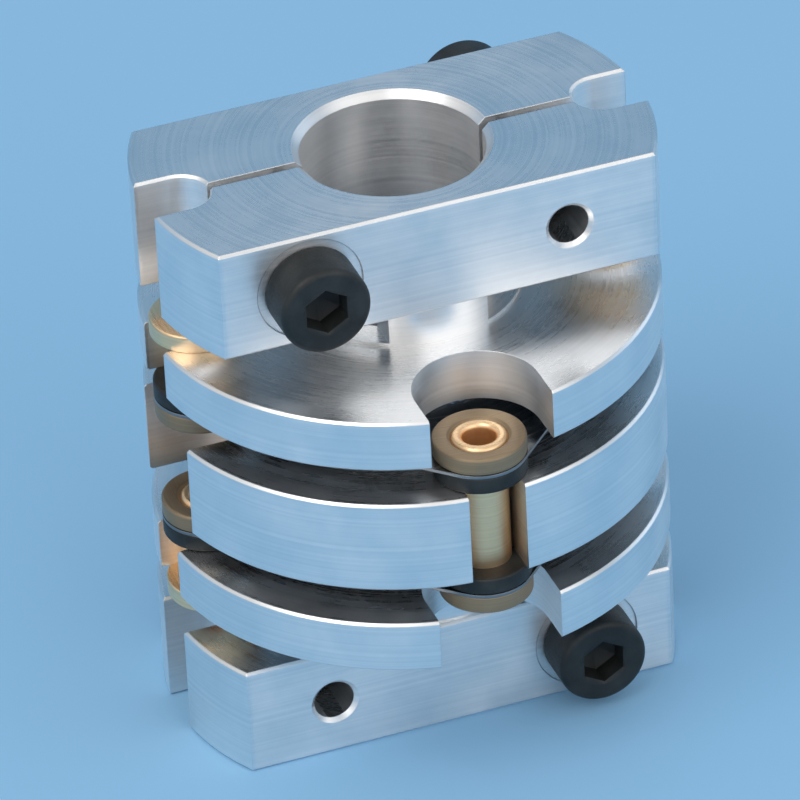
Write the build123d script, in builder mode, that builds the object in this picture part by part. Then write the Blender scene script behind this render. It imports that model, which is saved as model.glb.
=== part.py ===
"""Two-stage membrane shaft coupling with clamp hubs.

Two clamp hubs face each other across a centre disc. A thin membrane lies in each
gap. Tubular rivets at the left and right tie each membrane to its own hub, and
two long ones at the front and rear tie both membranes to the centre disc. Each
rivet has a turned head at one end and a lip rolled over in a collar at the other.

Lengths are in mm. The origin is at the bottom of the lower hub on the shaft
axis, with +Z up the shaft and X along the clamp bars.
"""

import os

from build123d import *

# Shaft line and overall size
outer_diameter = 31.0
bore_diameter = 11.0
bore_chamfer = 0.45

# Clamp hub: bar, neck and flange of one turned and milled piece
bar_width = 15.2
bar_height = 7.1
neck_diameter = 14.6
neck_height = 2.4
web_width = 6.2
saw_margin = 0.2
flange_thickness = 3.3
slit_width = 0.6
notch_width = 3.7
notch_depth = 2.25
edge_break = 0.15

# Centre disc
disc_thickness = 6.0
disc_bore_diameter = 13.0

# Membrane joints: tubular rivets, their collars and the thin rings between these
tube_diameter = 3.2
tube_bore_diameter = 2.0
collar_diameter = 5.6
collar_height = 1.1
collar_break = 0.2
countersink_depth = 0.3
lip_overlap = 0.1
lip_rise = 0.05
lip_crown_width = 0.3
membrane_thickness = 0.2
membrane_bore_diameter = 15.0
slot_clearance = 0.15
collar_clearance = 1.0

# Clamp screws: M3 socket cap screws with a 2.5 mm key
screw_wall = 0.85
screw_diameter = 3.0
screw_length = 12.0
tapping_diameter = 2.5
clearance_diameter = 3.4
tapping_countersink = 3.0
head_diameter = 5.5
head_height = 3.0
head_break = 0.35
key_size = 2.5
key_depth = 1.5
spot_face_diameter = 6.5
spot_face_depth = 0.15

# Values that follow from those above
outer_radius = outer_diameter / 2
tube_radius = tube_diameter / 2
collar_radius = collar_diameter / 2
rivet_pitch_radius = outer_radius - collar_radius
notch_centre = outer_radius - notch_depth
screw_offset = bore_diameter / 2 + clearance_diameter / 2 + screw_wall
slot_width = tube_diameter + 2 * slot_clearance
scallop_width = collar_diameter + 2 * collar_clearance
membrane_gap = 2 * collar_height + membrane_thickness
flange_level = bar_height + neck_height
hub_height = flange_level + flange_thickness
membrane_level = hub_height + collar_height
disc_level = hub_height + membrane_gap
overall_length = 2 * disc_level + disc_thickness

# Each half of the coupling stands on its own base plane, with Z towards the centre
lower_base = Plane.XY
upper_base = Plane(origin=(0, 0, overall_length), x_dir=(-1, 0, 0), z_dir=(0, 0, -1))
halves = {"lower": lower_base, "upper": upper_base}


def local_plane(base, place, towards):
    """A plane at a place given in base, whose Z runs towards a direction given in base."""
    origin = base.from_local_coords(place)
    tip = base.from_local_coords(tuple(a + b for a, b in zip(place, towards)))
    x_dir = base.x_dir if towards[0] == 0 else base.y_dir
    return Plane(origin=origin, x_dir=x_dir, z_dir=tip - origin)


def screw_seats(base):
    """Planes on the bar's two flats, one for each clamp screw, with Z out of the bar."""
    height = bar_height / 2
    front = local_plane(base, (screw_offset, -bar_width / 2, height), (0, -1, 0))
    rear = local_plane(base, (-screw_offset, bar_width / 2, height), (0, 1, 0))
    return {"front": front, "rear": rear}


def turned_disc(base, thickness, slot_start):
    """A disc turned with broken rims, then milled with two rivet slots and two scallops between them."""
    with BuildPart() as disc:
        with BuildSketch(base):
            Circle(outer_radius)
        extrude(amount=thickness)
        chamfer(disc.edges().filter_by(GeomType.CIRCLE), length=edge_break)
        with BuildSketch(base):
            with PolarLocations(rivet_pitch_radius + outer_radius / 2, 2, start_angle=slot_start):
                SlotCenterToCenter(outer_radius, slot_width)
            with PolarLocations(rivet_pitch_radius + outer_radius / 2, 2, start_angle=slot_start + 90):
                SlotCenterToCenter(outer_radius, scallop_width)
        extrude(amount=thickness, mode=Mode.SUBTRACT)
    return disc.part


def clamp_hub(base):
    """Bar, neck webs and flange in one piece, standing on base with the flange uppermost."""
    with BuildPart() as hub:
        with BuildSketch(base):
            Circle(outer_radius)
            Rectangle(outer_diameter, bar_width, mode=Mode.INTERSECT)
            with PolarLocations(notch_centre + outer_radius / 2, 2):
                SlotCenterToCenter(outer_radius, notch_width, mode=Mode.SUBTRACT)
        extrude(amount=bar_height)
        chamfer(hub.edges().filter_by(Plane.XY), length=edge_break)

        add(turned_disc(base.offset(flange_level), flange_thickness, slot_start=0))

        # The neck is turned, then sawn from both ends of the bar so that two webs are left
        with BuildSketch(base.offset(bar_height)):
            Circle(neck_diameter / 2)
        extrude(amount=neck_height)
        with BuildSketch(base.offset(bar_height + saw_margin)):
            with PolarLocations(web_width / 2 + outer_radius / 2, 2):
                Rectangle(outer_radius, outer_diameter)
        extrude(amount=neck_height - 2 * saw_margin, mode=Mode.SUBTRACT)

        with BuildSketch(base):
            Rectangle(2 * notch_centre, slit_width)
        extrude(amount=bar_height + saw_margin, mode=Mode.SUBTRACT)

        with BuildSketch(base):
            Circle(bore_diameter / 2)
        extrude(amount=hub_height, mode=Mode.SUBTRACT)
        with BuildSketch(base):
            Circle(bore_diameter / 2 + bore_chamfer)
        extrude(amount=bore_chamfer, taper=45, mode=Mode.SUBTRACT)

        for seat in screw_seats(base).values():
            with Locations(seat):
                CounterBoreHole(
                    radius=clearance_diameter / 2,
                    counter_bore_radius=spot_face_diameter / 2,
                    counter_bore_depth=spot_face_depth,
                    depth=bar_width / 2,
                )
                Hole(radius=tapping_diameter / 2, depth=bar_width)
            far_side = Plane(origin=seat.origin - seat.z_dir * bar_width, z_dir=-seat.z_dir)
            with Locations(far_side):
                CounterSinkHole(
                    radius=tapping_diameter / 2,
                    counter_sink_radius=tapping_countersink / 2,
                    depth=bar_width / 2,
                    counter_sink_angle=90,
                )
    return hub.part


def centre_disc():
    """The thick disc between the two membranes, slotted for its rivets and cut clear of the others."""
    base = Plane.XY.offset(disc_level)
    with BuildPart() as disc:
        add(turned_disc(base, disc_thickness, slot_start=90))
        with Locations(base):
            Hole(radius=disc_bore_diameter / 2)
    return disc.part


def membrane(base):
    """A thin four-lobed spring ring, with a rivet hole in each lobe."""
    with BuildPart() as sheet:
        with BuildSketch(base.offset(membrane_level)):
            with PolarLocations(rivet_pitch_radius, 4):
                Circle(collar_radius)
            make_hull()
            Circle(membrane_bore_diameter / 2, mode=Mode.SUBTRACT)
            with PolarLocations(rivet_pitch_radius, 4):
                Circle(tube_radius, mode=Mode.SUBTRACT)
        extrude(amount=membrane_thickness)
    return sheet.part


def seat_collar(seat):
    """A plain collar standing on seat, between a flange or the centre disc and a membrane."""
    with BuildPart() as ring:
        with BuildSketch(seat):
            Circle(collar_radius)
            Circle(tube_radius, mode=Mode.SUBTRACT)
        extrude(amount=collar_height)
    return ring.part


def free_collar(seat):
    """A collar standing on a membrane, countersunk for the rolled lip of its rivet."""
    with BuildPart() as ring:
        with BuildSketch(seat):
            Circle(collar_radius)
        extrude(amount=collar_height)
        outer_edge = ring.edges().sort_by(Axis(seat.origin, seat.z_dir))[-1]
        chamfer(outer_edge, length=collar_break)
        with Locations(seat.offset(collar_height)):
            CounterSinkHole(
                radius=tube_radius,
                counter_sink_radius=tube_radius + countersink_depth,
                depth=collar_height,
                counter_sink_angle=90,
            )
    return ring.part


def tube_rivet(head_end, length):
    """A headed tube from the plane head_end to the far face of its collar, where its lip is rolled over."""
    section = Plane(
        origin=head_end.origin,
        x_dir=head_end.x_dir,
        z_dir=head_end.x_dir.cross(head_end.z_dir),
    )
    bore_radius = tube_bore_diameter / 2
    lip_radius = tube_radius + lip_overlap
    lip_level = length - countersink_depth + lip_overlap
    crown_middle = (bore_radius + lip_radius) / 2
    with BuildPart() as tube:
        with BuildSketch(section):
            with BuildLine():
                Polyline(
                    (bore_radius, 0),
                    (collar_radius - collar_break, 0),
                    (collar_radius, collar_break),
                    (collar_radius, collar_height),
                    (tube_radius, collar_height),
                    (tube_radius, length - countersink_depth),
                    (lip_radius, lip_level),
                    (crown_middle + lip_crown_width / 2, length + lip_rise),
                    (crown_middle - lip_crown_width / 2, length + lip_rise),
                    (bore_radius, lip_level),
                    close=True,
                )
            make_face()
        revolve(axis=Axis(head_end.origin, head_end.z_dir))
    return tube.part


def clamp_screw(seat):
    """A socket cap screw on its spot face, plain to the slit and at its thread root beyond."""
    spot_face = seat.offset(-spot_face_depth)
    plain_length = bar_width / 2 - spot_face_depth
    with BuildPart() as screw:
        with BuildSketch(spot_face):
            Circle(head_diameter / 2)
        extrude(amount=head_height)
        chamfer(screw.edges().sort_by(Axis(seat.origin, seat.z_dir))[-1], length=head_break)
        with BuildSketch(spot_face.offset(head_height)):
            RegularPolygon(key_size / 2, 6, major_radius=False)
        extrude(amount=-key_depth, mode=Mode.SUBTRACT)
        with BuildSketch(spot_face):
            Circle(screw_diameter / 2)
        extrude(amount=-plain_length)
        with BuildSketch(spot_face):
            Circle(tapping_diameter / 2)
        extrude(amount=-screw_length)
    return screw.part


def save(part, name):
    """Label a piece and write it as a STEP file of the same name."""
    part.label = name
    export_step(part, f"parts/{name}.step")


os.makedirs("parts", exist_ok=True)

save(centre_disc(), "centre_disc")

for half, base in halves.items():
    save(clamp_hub(base), f"{half}_hub")
    save(membrane(base), f"{half}_membrane")

    for end, seat in screw_seats(base).items():
        save(clamp_screw(seat), f"{half}_{end}_clamp_screw")

    # Hub rivets: the head lies behind the flange, and the lip past the membrane
    for side, x in (("left", -rivet_pitch_radius), ("right", rivet_pitch_radius)):
        place = base.to_local_coords(Vector(x, 0, 0)).X
        before_flange = local_plane(base, (place, 0, hub_height), (0, 0, 1))
        past_membrane = before_flange.offset(collar_height + membrane_thickness)
        save(seat_collar(before_flange), f"{half}_{side}_seat_collar")
        save(free_collar(past_membrane), f"{half}_{side}_free_collar")
        head_end = local_plane(base, (place, 0, flange_level - collar_height), (0, 0, 1))
        save(tube_rivet(head_end, disc_level - flange_level + collar_height), f"{half}_{side}_hub_rivet")

    for end, y in (("front", -rivet_pitch_radius), ("rear", rivet_pitch_radius)):
        before_disc = local_plane(base, (0, y, disc_level), (0, 0, -1))
        save(seat_collar(before_disc), f"{half}_{end}_seat_collar")

# Disc rivets: each passes through both membranes, with its head below and its lip above
for end, y in (("front", -rivet_pitch_radius), ("rear", rivet_pitch_radius)):
    head_end = local_plane(lower_base, (0, y, hub_height), (0, 0, 1))
    past_membrane = local_plane(upper_base, (0, y, membrane_level), (0, 0, -1))
    save(tube_rivet(head_end, disc_thickness + 2 * membrane_gap), f"{end}_disc_rivet")
    save(free_collar(past_membrane), f"upper_{end}_free_collar")
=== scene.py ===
"""Dresses the disc coupling: finer screws, rivets and collars, metal finishes, light and camera.

Lengths are in metres. The frame is the CAD one: +Z up the shaft axis, X along the clamp bars.
"""

import math

import bpy
from mathutils import Matrix, Vector


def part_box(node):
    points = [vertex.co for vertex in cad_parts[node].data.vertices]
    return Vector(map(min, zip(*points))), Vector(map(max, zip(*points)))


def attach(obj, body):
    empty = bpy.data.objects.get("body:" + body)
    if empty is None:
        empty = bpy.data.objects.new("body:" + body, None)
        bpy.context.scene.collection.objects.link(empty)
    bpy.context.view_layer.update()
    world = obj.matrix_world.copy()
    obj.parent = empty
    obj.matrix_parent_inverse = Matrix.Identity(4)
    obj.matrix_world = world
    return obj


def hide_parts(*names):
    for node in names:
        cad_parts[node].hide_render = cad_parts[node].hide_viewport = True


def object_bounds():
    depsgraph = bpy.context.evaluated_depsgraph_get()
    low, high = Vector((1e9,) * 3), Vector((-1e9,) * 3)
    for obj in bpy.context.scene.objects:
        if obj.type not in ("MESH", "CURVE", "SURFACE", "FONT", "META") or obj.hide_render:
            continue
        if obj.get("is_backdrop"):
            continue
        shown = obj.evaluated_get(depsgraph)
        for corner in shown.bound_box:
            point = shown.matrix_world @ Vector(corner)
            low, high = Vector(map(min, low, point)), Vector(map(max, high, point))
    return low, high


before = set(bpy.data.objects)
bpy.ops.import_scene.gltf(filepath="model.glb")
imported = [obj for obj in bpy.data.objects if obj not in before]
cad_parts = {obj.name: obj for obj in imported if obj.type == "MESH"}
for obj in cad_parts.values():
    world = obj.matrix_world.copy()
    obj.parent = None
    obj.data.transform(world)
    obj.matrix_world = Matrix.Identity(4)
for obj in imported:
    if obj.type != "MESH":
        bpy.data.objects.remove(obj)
cad_low, cad_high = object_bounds()
centre = (cad_low + cad_high) / 2
MM = 0.001

# Rivets and collars: the sizes that the CAD boxes don't give
TUBE_RADIUS = 1.6 * MM
TUBE_BORE_RADIUS = 1.0 * MM
LIP_OVERLAP = 0.1 * MM
COUNTERSINK = 0.3 * MM
SEAT_COUNTERSINK = 0.08 * MM
COLLAR_HEIGHT = 1.1 * MM
RIVET_ROUNDING = 0.15 * MM
RIVET_EDGE = 0.05 * MM
COLLAR_ROUNDING = 0.16 * MM
CLEARANCE = 0.02 * MM
LIP_STEPS = 12

# Clamp screws: an M3 socket cap screw
HEAD_HEIGHT = 3.0 * MM
HEAD_ROUNDING = 0.4 * MM
HEAD_EDGE = 0.1 * MM
KEY_SIZE = 2.5 * MM
KEY_DEPTH = 1.5 * MM
KEY_CHAMFER = 0.08 * MM
KEY_CHAMFER_DEPTH = 0.12 * MM
KEY_POINT_DEPTH = 0.35 * MM
KEY_POINT_WIDTH = 0.35 * KEY_SIZE
THREAD_RADIUS = 1.5 * MM
THREAD_PITCH = 0.5 * MM
THREAD_DEPTH = 0.27 * MM
THREAD_START = 0.2 * MM
THREAD_POINT = 0.5 * MM
ROWS_PER_PITCH = 6

# Walls inside BORE_RADIUS are bored, and those from NECK_RADIUS out to RIM_RADIUS are milled.
# A face whose normal has more than FACED_NORMAL of Z in it is faced on the lathe.
BORE_RADIUS = 6.6 * MM
NECK_RADIUS = 7.35 * MM
RIM_RADIUS = 15.3 * MM
FACED_NORMAL = 0.9

# How the metal looks
EDGE_ROUNDING = 0.08 * MM
MILLED_BLUR = 0.08
FACING_POLISH = 0.07
MARKS_PER_MM = 0.25
LINE_SHARE = 0.45
MARK_BLUR = 0.05
LINE_BLUR = 0.03

ROUND_STEPS = 96
SHARP_ANGLE = math.radians(40)


# ---------------------------------------------------------------- node helpers


def new_material(name):
    """An empty node material, its node tree, and its Principled shader."""
    material = bpy.data.materials.new(name)
    material.use_nodes = True
    tree = material.node_tree
    return material, tree, tree.nodes["Principled BSDF"]


def add_node(tree, kind, inputs=None, **settings):
    """A node of that kind. An input is a value, or the output socket that feeds it."""
    node = tree.nodes.new(kind)
    for key, value in settings.items():
        setattr(node, key, value)
    for key, value in (inputs or {}).items():
        if isinstance(value, bpy.types.NodeSocket):
            tree.links.new(value, node.inputs[key])
        else:
            node.inputs[key].default_value = value
    return node


def maths(tree, operation, first, second=0.0):
    """The output of a Math node on two values or sockets."""
    return add_node(tree, "ShaderNodeMath", {0: first, 1: second}, operation=operation).outputs[0]


def remap(tree, value, low, high, to_low, to_high):
    """The value moved from the range low to high into the range to_low to to_high, and held inside it."""
    inputs = {0: value, 1: low, 2: high, 3: to_low, 4: to_high}
    return add_node(tree, "ShaderNodeMapRange", inputs).outputs[0]


def noise(tree, vector, scale, detail=3.0, roughness=0.5):
    """Noise from about 0.3 to 0.7, with scale lumps to a metre."""
    inputs = {"Vector": vector, "Scale": scale, "Detail": detail, "Roughness": roughness}
    return add_node(tree, "ShaderNodeTexNoise", inputs).outputs["Fac"]


def two_colours(tree, factor, first, second):
    """A blend from the first colour, at factor 0, to the second, at 1."""
    node = add_node(tree, "ShaderNodeMix", {0: factor}, data_type="RGBA")
    colour_inputs = [socket for socket in node.inputs if socket.type == "RGBA"]
    for socket, colour in zip(colour_inputs, (first, second)):
        socket.default_value = (*colour, 1)
    return next(socket for socket in node.outputs if socket.type == "RGBA")


def tool_marks(tree, lines_per_metre):
    """Fine tool lines round the shaft axis, the place on the part, and how much duller it is than a rim."""
    place = add_node(tree, "ShaderNodeTexCoord").outputs["Object"]
    xyz = add_node(tree, "ShaderNodeSeparateXYZ", {0: place}).outputs
    flat = add_node(tree, "ShaderNodeCombineXYZ", {0: xyz[0], 1: xyz[1]}).outputs[0]
    radius = add_node(tree, "ShaderNodeVectorMath", {0: flat}, operation="LENGTH").outputs["Value"]
    normal = add_node(tree, "ShaderNodeNewGeometry").outputs["True Normal"]
    facing = maths(tree, "ABSOLUTE", add_node(tree, "ShaderNodeSeparateXYZ", {0: normal}).outputs[2])
    is_faced = maths(tree, "GREATER_THAN", facing, FACED_NORMAL)
    across_lines = {0: is_faced, 2: xyz[2], 3: radius}
    along = add_node(tree, "ShaderNodeMix", across_lines, data_type="FLOAT").outputs[0]
    count = maths(tree, "MULTIPLY", along, lines_per_metre)
    settings = {"W": count, "Scale": 1.0, "Detail": 2.0, "Roughness": 0.6}
    lines = add_node(tree, "ShaderNodeTexNoise", settings, noise_dimensions="1D")
    is_wall = maths(tree, "SUBTRACT", 1.0, is_faced)
    inside_rim = maths(tree, "LESS_THAN", radius, RIM_RADIUS)
    past_neck = maths(tree, "GREATER_THAN", radius, NECK_RADIUS)
    milled = maths(tree, "MULTIPLY", inside_rim, past_neck)
    bored = maths(tree, "LESS_THAN", radius, BORE_RADIUS)
    rough_wall = maths(tree, "MULTIPLY", is_wall, maths(tree, "MAXIMUM", milled, bored))
    milled_blur = maths(tree, "MULTIPLY", rough_wall, MILLED_BLUR)
    polish = maths(tree, "MULTIPLY", is_faced, FACING_POLISH)
    return lines.outputs["Fac"], place, maths(tree, "SUBTRACT", milled_blur, polish)


# ---------------------------------------------------------------- materials

OXIDE_BLACK = (0.012, 0.014, 0.014)
OXIDE_RUBBED = (0.026, 0.029, 0.029)


def machined_metal(name, light, dark, roughness, lines_per_mm, line_depth, anisotropy, metallic=1.0):
    """Turned and milled metal: fine tool lines, faint handling marks and soft stretched highlights."""
    material, tree, shader = new_material(name)
    lines, place, dulling = tool_marks(tree, lines_per_mm / MM)
    marks = noise(tree, place, MARKS_PER_MM / MM, 5.0, 0.6)

    line_tone = maths(tree, "MULTIPLY", lines, LINE_SHARE)
    mark_tone = maths(tree, "MULTIPLY", marks, 1 - LINE_SHARE)
    lightness = remap(tree, maths(tree, "ADD", line_tone, mark_tone), 0.35, 0.65, 0.0, 1.0)
    tree.links.new(two_colours(tree, lightness, dark, light), shader.inputs["Base Color"])

    mark_blur = remap(tree, marks, 0.35, 0.7, -MARK_BLUR, MARK_BLUR)
    line_blur = remap(tree, lines, 0.3, 0.7, -LINE_BLUR, LINE_BLUR)
    blur = maths(tree, "ADD", mark_blur, line_blur)
    base = maths(tree, "ADD", dulling, roughness)
    tree.links.new(maths(tree, "ADD", blur, base), shader.inputs["Roughness"])

    shader.inputs["Metallic"].default_value = metallic
    shader.inputs["Anisotropic"].default_value = anisotropy
    shader.inputs["Anisotropic Rotation"].default_value = 0.25
    tangent = add_node(tree, "ShaderNodeTangent", direction_type="RADIAL", axis="Z").outputs[0]
    tree.links.new(tangent, shader.inputs["Tangent"])

    rounded = add_node(tree, "ShaderNodeBevel", {"Radius": EDGE_ROUNDING}, samples=4).outputs[0]
    relief = {"Height": lines, "Strength": 0.25, "Distance": line_depth, "Normal": rounded}
    bump = add_node(tree, "ShaderNodeBump", relief)
    tree.links.new(bump.outputs[0], shader.inputs["Normal"])
    return material


def black_oxide():
    """Satin black oxide over steel, slightly lighter where handling has rubbed it."""
    material, tree, shader = new_material("black_oxide")
    place = add_node(tree, "ShaderNodeTexCoord").outputs["Object"]
    grain = noise(tree, place, 8.0 / MM, 3.0)
    rub = noise(tree, place, 0.6 / MM, 4.0)
    rubbed = remap(tree, rub, 0.4, 0.7, 0.0, 1.0)
    colour = two_colours(tree, rubbed, OXIDE_BLACK, OXIDE_RUBBED)
    tree.links.new(colour, shader.inputs["Base Color"])
    tree.links.new(remap(tree, grain, 0.3, 0.7, 0.42, 0.58), shader.inputs["Roughness"])
    shader.inputs["Specular IOR Level"].default_value = 0.35
    bump = add_node(tree, "ShaderNodeBump", {"Height": grain, "Strength": 0.2, "Distance": 0.01 * MM})
    tree.links.new(bump.outputs[0], shader.inputs["Normal"])
    return material


def paper(name, colour):
    """Plain matt studio paper, with faint fibres."""
    material, tree, shader = new_material(name)
    place = add_node(tree, "ShaderNodeTexCoord").outputs["Object"]
    fibre = noise(tree, place, 0.02 / MM, 4.0)
    shade = two_colours(tree, fibre, tuple(0.98 * channel for channel in colour), colour)
    tree.links.new(shade, shader.inputs["Base Color"])
    shader.inputs["Roughness"].default_value = 0.9
    shader.inputs["Specular IOR Level"].default_value = 0.1
    return material


ALUMINIUM = machined_metal(
    "aluminium",
    light=(0.91, 0.905, 0.90),
    dark=(0.80, 0.80, 0.80),
    roughness=0.36,
    lines_per_mm=4.0,
    line_depth=0.003 * MM,
    anisotropy=0.55,
)
COLLAR_BRASS = machined_metal(
    "collar_brass",
    light=(0.36, 0.265, 0.165),
    dark=(0.25, 0.185, 0.12),
    roughness=0.50,
    lines_per_mm=8.0,
    line_depth=0.005 * MM,
    anisotropy=0.3,
    metallic=0.75,
)
RIVET_BRASS = machined_metal(
    "rivet_brass",
    light=(1.0, 0.74, 0.46),
    dark=(0.90, 0.58, 0.32),
    roughness=0.34,
    lines_per_mm=6.0,
    line_depth=0.003 * MM,
    anisotropy=0.2,
)
SPRING_STEEL = machined_metal(
    "spring_steel",
    light=(0.30, 0.31, 0.32),
    dark=(0.18, 0.19, 0.20),
    roughness=0.32,
    lines_per_mm=2.0,
    line_depth=0.002 * MM,
    anisotropy=0.4,
)
BLACK_OXIDE = black_oxide()


# ---------------------------------------------------------------- mesh helpers


def skin(name, rings, closed, material):
    """A mesh over rings of points. A closed one joins its last ring to its first; an open one is capped."""
    count = len(rings[0])
    points = [point for ring in rings for point in ring]
    faces = []
    for row in range(len(rings) if closed else len(rings) - 1):
        here = row * count
        there = (row + 1) % len(rings) * count
        for i in range(count):
            j = (i + 1) % count
            faces.append((here + i, here + j, there + j, there + i))
    if not closed:
        faces.append(tuple(reversed(range(count))))
        faces.append(tuple(range(len(points) - count, len(points))))
    mesh = bpy.data.meshes.new(name)
    mesh.from_pydata(points, [], faces)
    mesh.validate()
    mesh.shade_smooth()
    mesh.set_sharp_from_angle(angle=SHARP_ANGLE)
    mesh.materials.append(material)
    piece = bpy.data.objects.new(name, mesh)
    bpy.context.scene.collection.objects.link(piece)
    return piece


def dress(piece, node):
    """The piece takes the place of a CAD node, on the one body there is."""
    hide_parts(node)
    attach(piece, "root")


def axes(along):
    """Two unit vectors at right angles to along, the first of which turns right-handed into the second."""
    side = Vector((1, 0, 0)) if abs(along.x) < 0.5 else Vector((0, 1, 0))
    up = along.cross(side).normalized()
    return up.cross(along), up


def ring_point(origin, along, turn, radius, height):
    """A point at that turn and radius round along, and at that height above origin."""
    side, up = axes(along)
    return origin + along * height + (side * math.cos(turn) + up * math.sin(turn)) * radius


def turns():
    """The angles of the points in a ring."""
    return [2 * math.pi * i / ROUND_STEPS for i in range(ROUND_STEPS)]


def circle(origin, along, radius, height):
    """A ring of points round along, at that height above origin."""
    return [ring_point(origin, along, turn, radius, height) for turn in turns()]


def hexagon(origin, along, width, height):
    """A ring of points along a hexagon of that width across its flats."""
    ring = []
    for turn in turns():
        past_flat = (turn + math.pi / 6) % (math.pi / 3) - math.pi / 6
        reach = width / 2 / math.cos(past_flat)
        ring.append(ring_point(origin, along, turn, reach, height))
    return ring


def arc(middle_radius, middle_height, radius, start, end, steps=6):
    """Points (radius, height) along an arc in a turned profile, with its angles in degrees."""
    points = []
    for i in range(steps + 1):
        turn = math.radians(start + (end - start) * i / steps)
        points.append((middle_radius + radius * math.cos(turn), middle_height + radius * math.sin(turn)))
    return points


# ---------------------------------------------------------------- clamp screws


def head_rings(seat, out, head_radius):
    """The head of a cap screw from the bottom of its socket, up, round its rim and down to its shank."""
    corner = HEAD_HEIGHT - HEAD_ROUNDING
    mouth = KEY_SIZE / math.sqrt(3) + KEY_CHAMFER
    rings = [hexagon(seat, out, KEY_POINT_WIDTH, HEAD_HEIGHT - KEY_DEPTH - KEY_POINT_DEPTH)]
    for depth in (KEY_DEPTH, KEY_DEPTH / 2, KEY_CHAMFER_DEPTH):
        rings.append(hexagon(seat, out, KEY_SIZE, HEAD_HEIGHT - depth))
    rings.append(circle(seat, out, mouth, HEAD_HEIGHT))
    rings.append(circle(seat, out, mouth + HEAD_EDGE, HEAD_HEIGHT))
    rim = arc(head_radius - HEAD_ROUNDING, corner, HEAD_ROUNDING, 0, 90)
    for radius, height in reversed(rim):
        rings.append(circle(seat, out, radius, height))
    for height in (0.5 * HEAD_HEIGHT, HEAD_EDGE):
        rings.append(circle(seat, out, head_radius, height))
    rings.append(circle(seat, out, head_radius - HEAD_EDGE, 0))
    rings.append(circle(seat, out, THREAD_RADIUS, 0))
    return rings


def thread_ring(seat, out, depth, length):
    """The shank at that depth below the head: a helical thread that fades in, and a chamfered point."""
    fade = min(1.0, max(0.0, (depth - THREAD_START) / THREAD_PITCH))
    point_end = max(0.0, depth - length + THREAD_POINT)
    ring = []
    for turn in turns():
        phase = (depth / THREAD_PITCH + turn / (2 * math.pi)) % 1.0
        radius = THREAD_RADIUS - THREAD_DEPTH * fade * abs(2 * phase - 1)
        radius = min(radius, THREAD_RADIUS - point_end)
        ring.append(ring_point(seat, out, turn, radius, -depth))
    return ring


def cap_screw(node):
    """A socket cap screw along Y, with its rounded head, hexagon socket and rolled thread."""
    low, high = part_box(node)
    middle = (low + high) / 2
    out = Vector((0, 1 if middle.y > 0 else -1, 0))
    head_top = Vector((middle.x, high.y if out.y > 0 else low.y, middle.z))
    seat = head_top - out * HEAD_HEIGHT
    length = (high.y - low.y) - HEAD_HEIGHT
    rings = head_rings(seat, out, (high.x - low.x) / 2)
    rows = int(length / THREAD_PITCH * ROWS_PER_PITCH)
    for row in range(1, rows + 1):
        rings.append(thread_ring(seat, out, length * row / rows, length))
    return skin(f"{node}_threaded", rings, False, BLACK_OXIDE)


# ---------------------------------------------------------------- rivets and collars


def stack_end(node, towards):
    """The middle of a CAD node's end face along Z, and its height."""
    low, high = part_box(node)
    middle = (low + high) / 2
    return Vector((middle.x, middle.y, low.z if towards > 0 else high.z)), high.z - low.z


def rolled_rivet(node, towards, head_metal):
    """A headed tube along Z whose far lip is rolled over into its collar's countersink."""
    origin, height = stack_end(node, towards)
    low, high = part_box(node)
    along = Vector((0, 0, towards))
    head_radius = (high.x - low.x) / 2
    lip_radius = (TUBE_RADIUS + LIP_OVERLAP - TUBE_BORE_RADIUS) / 2
    lip_height = height - lip_radius

    profile = [(TUBE_BORE_RADIUS, lip_height), (TUBE_BORE_RADIUS, RIVET_ROUNDING)]
    profile += [(TUBE_BORE_RADIUS + RIVET_ROUNDING, 0.0)]
    profile += arc(head_radius - RIVET_ROUNDING, RIVET_ROUNDING, RIVET_ROUNDING, -90, 0)
    profile += [(head_radius, COLLAR_HEIGHT - RIVET_EDGE), (head_radius - RIVET_EDGE, COLLAR_HEIGHT)]
    profile += [(TUBE_RADIUS, COLLAR_HEIGHT), (TUBE_RADIUS, height - COUNTERSINK - CLEARANCE)]
    profile += arc(TUBE_BORE_RADIUS + lip_radius, lip_height, lip_radius, 0, 180, LIP_STEPS)[:-1]
    rings = [circle(origin, along, radius, level) for radius, level in profile]
    rivet = skin(f"{node}_rolled", rings, True, RIVET_BRASS)

    rivet.data.materials.append(head_metal)
    for face in rivet.data.polygons:
        from_origin = face.center - origin
        on_head = abs(from_origin.z) < COLLAR_HEIGHT and from_origin.xy.length > TUBE_RADIUS
        face.material_index = 1 if on_head else 0
    return rivet


def turned_collar(node, towards, countersunk):
    """A collar along Z with softened edges, countersunk at its far end if it takes a rolled lip."""
    origin, height = stack_end(node, towards)
    low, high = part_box(node)
    along = Vector((0, 0, towards))
    radius = (high.x - low.x) / 2
    soft = COLLAR_ROUNDING
    sink = COUNTERSINK if countersunk else SEAT_COUNTERSINK

    profile = arc(radius - soft, soft, soft, -90, 0)
    profile += arc(radius - soft, height - soft, soft, 0, 90)
    profile += [(TUBE_RADIUS + sink + CLEARANCE, height), (TUBE_RADIUS + sink, height - CLEARANCE / 2)]
    profile += [(TUBE_RADIUS, height - sink), (TUBE_RADIUS, 0.0)]
    rings = [circle(origin, along, reach, level) for reach, level in reversed(profile)]
    # A collar that takes no lip is drawn near black, in the same material as the screws.
    return skin(f"{node}_turned", rings, True, COLLAR_BRASS if countersunk else BLACK_OXIDE)


# ---------------------------------------------------------------- the dressed part

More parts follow.
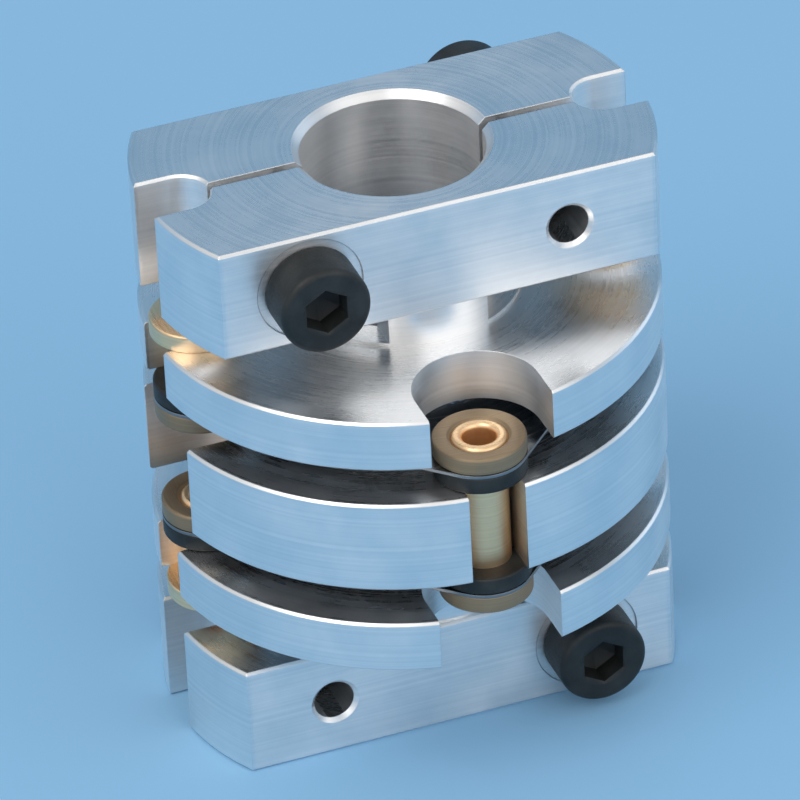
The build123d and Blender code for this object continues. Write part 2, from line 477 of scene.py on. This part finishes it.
for node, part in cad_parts.items():
    if node.endswith("clamp_screw"):
        dress(cap_screw(node), node)
    elif node.endswith("rivet"):
        towards = -1 if node.startswith("upper") else 1
        head_metal = COLLAR_BRASS if node.endswith("disc_rivet") else RIVET_BRASS
        dress(rolled_rivet(node, towards, head_metal), node)
    elif node.endswith("collar"):
        # Hub rivets are rolled over on the side of the disc, and disc rivets on the side of the hub
        low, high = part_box(node)
        towards_disc = 1 if (low + high).z / 2 < centre.z else -1
        on_disc_rivet = "front" in node or "rear" in node
        towards = -towards_disc if on_disc_rivet else towards_disc
        takes_lip = node.endswith("free_collar")
        dress(turned_collar(node, towards, takes_lip), node)
    else:
        metal = SPRING_STEEL if node.endswith("membrane") else ALUMINIUM
        part.data.materials.clear()
        part.data.materials.append(metal)


# ---------------------------------------------------------------- stage and light

FLOOR_BLUE = (0.26, 0.49, 0.72)
FLOOR_REACH = 4
SKY_BLUE = (0.24, 0.45, 0.68)
SKY_WHITE = (0.94, 0.94, 0.94)
SKY_LIGHT = (-0.30, -0.39, 0.87)
SKY_STRENGTH = 0.8

corners = []
for x, y in ((-1, -1), (1, -1), (1, 1), (-1, 1)):
    corners.append(Vector((x * FLOOR_REACH, y * FLOOR_REACH, cad_low.z)))
floor_mesh = bpy.data.meshes.new("floor")
floor_mesh.from_pydata(corners, [], [(0, 1, 2, 3)])
floor_mesh.materials.append(paper("pale_paper", FLOOR_BLUE))
floor = bpy.data.objects.new("floor", floor_mesh)
bpy.context.scene.collection.objects.link(floor)
floor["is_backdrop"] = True


def softbox(name, place, width, height, power):
    """A rectangular area lamp at a place, aimed at the middle of the part."""
    lamp = bpy.data.lights.new(name, "AREA")
    lamp.shape = "RECTANGLE"
    lamp.size = width
    lamp.size_y = height
    lamp.energy = power
    holder = bpy.data.objects.new(name, lamp)
    holder.location = place
    holder.rotation_mode = "QUATERNION"
    holder.rotation_quaternion = (centre - Vector(place)).to_track_quat("-Z", "Y")
    bpy.context.scene.collection.objects.link(holder)


softbox("key", (-0.42, -0.25, 0.62), 0.50, 0.50, 2.2)
softbox("front_right", (0.30, -0.62, 0.42), 0.70, 0.40, 1.2)
softbox("low_right", (0.62, 0.05, 0.17), 0.45, 0.32, 0.36)

# The sky is blue, and turns white high up on the side of the light
world = bpy.data.worlds.new("studio")
world.use_nodes = True
sky = world.node_tree
direction = add_node(sky, "ShaderNodeTexCoord").outputs["Generated"]
light_sides = {0: direction, 1: SKY_LIGHT}
towards_light = add_node(sky, "ShaderNodeVectorMath", light_sides, operation="DOT_PRODUCT").outputs["Value"]
whiteness = remap(sky, towards_light, 0.05, 0.55, 0.0, 1.0)
background = sky.nodes["Background"]
sky.links.new(two_colours(sky, whiteness, SKY_BLUE, SKY_WHITE), background.inputs["Color"])
background.inputs["Strength"].default_value = SKY_STRENGTH
bpy.context.scene.world = world


# ---------------------------------------------------------------- camera

# It stands high at the front left, leans a little, and looks through a long lens
AZIMUTH = math.radians(-18.98)
ELEVATION = math.radians(33.52)
ROLL = math.radians(-3.06)
DISTANCE = 0.5321
AIM_LEFT = 0.355 * MM
AIM_UP = 0.077 * MM
SENSOR_WIDTH = 36
FOCAL_LENGTH = 402.2

backward = Vector((
    math.sin(AZIMUTH) * math.cos(ELEVATION),
    -math.cos(AZIMUTH) * math.cos(ELEVATION),
    math.sin(ELEVATION),
))
level = Vector((math.cos(AZIMUTH), math.sin(AZIMUTH), 0))
upright = level.cross(-backward)
right = level * math.cos(ROLL) + upright * math.sin(ROLL)
up = upright * math.cos(ROLL) - level * math.sin(ROLL)

lens = bpy.data.cameras.new("camera")
lens.sensor_width = SENSOR_WIDTH
lens.lens = FOCAL_LENGTH
lens.clip_start = 0.01
lens.clip_end = 20
camera = bpy.data.objects.new("camera", lens)
camera.location = centre + backward * DISTANCE
aim = centre - right * AIM_LEFT + up * AIM_UP
view = (aim - camera.location).normalized()
sideways = view.cross(up).normalized()
overhead = sideways.cross(view)
camera.rotation_mode = "QUATERNION"
camera.rotation_quaternion = Matrix((sideways, overhead, -view)).transposed().to_quaternion()
bpy.context.scene.collection.objects.link(camera)
bpy.context.scene.camera = camera
bpy.context.scene.view_settings.view_transform = "Standard"

low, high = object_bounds()
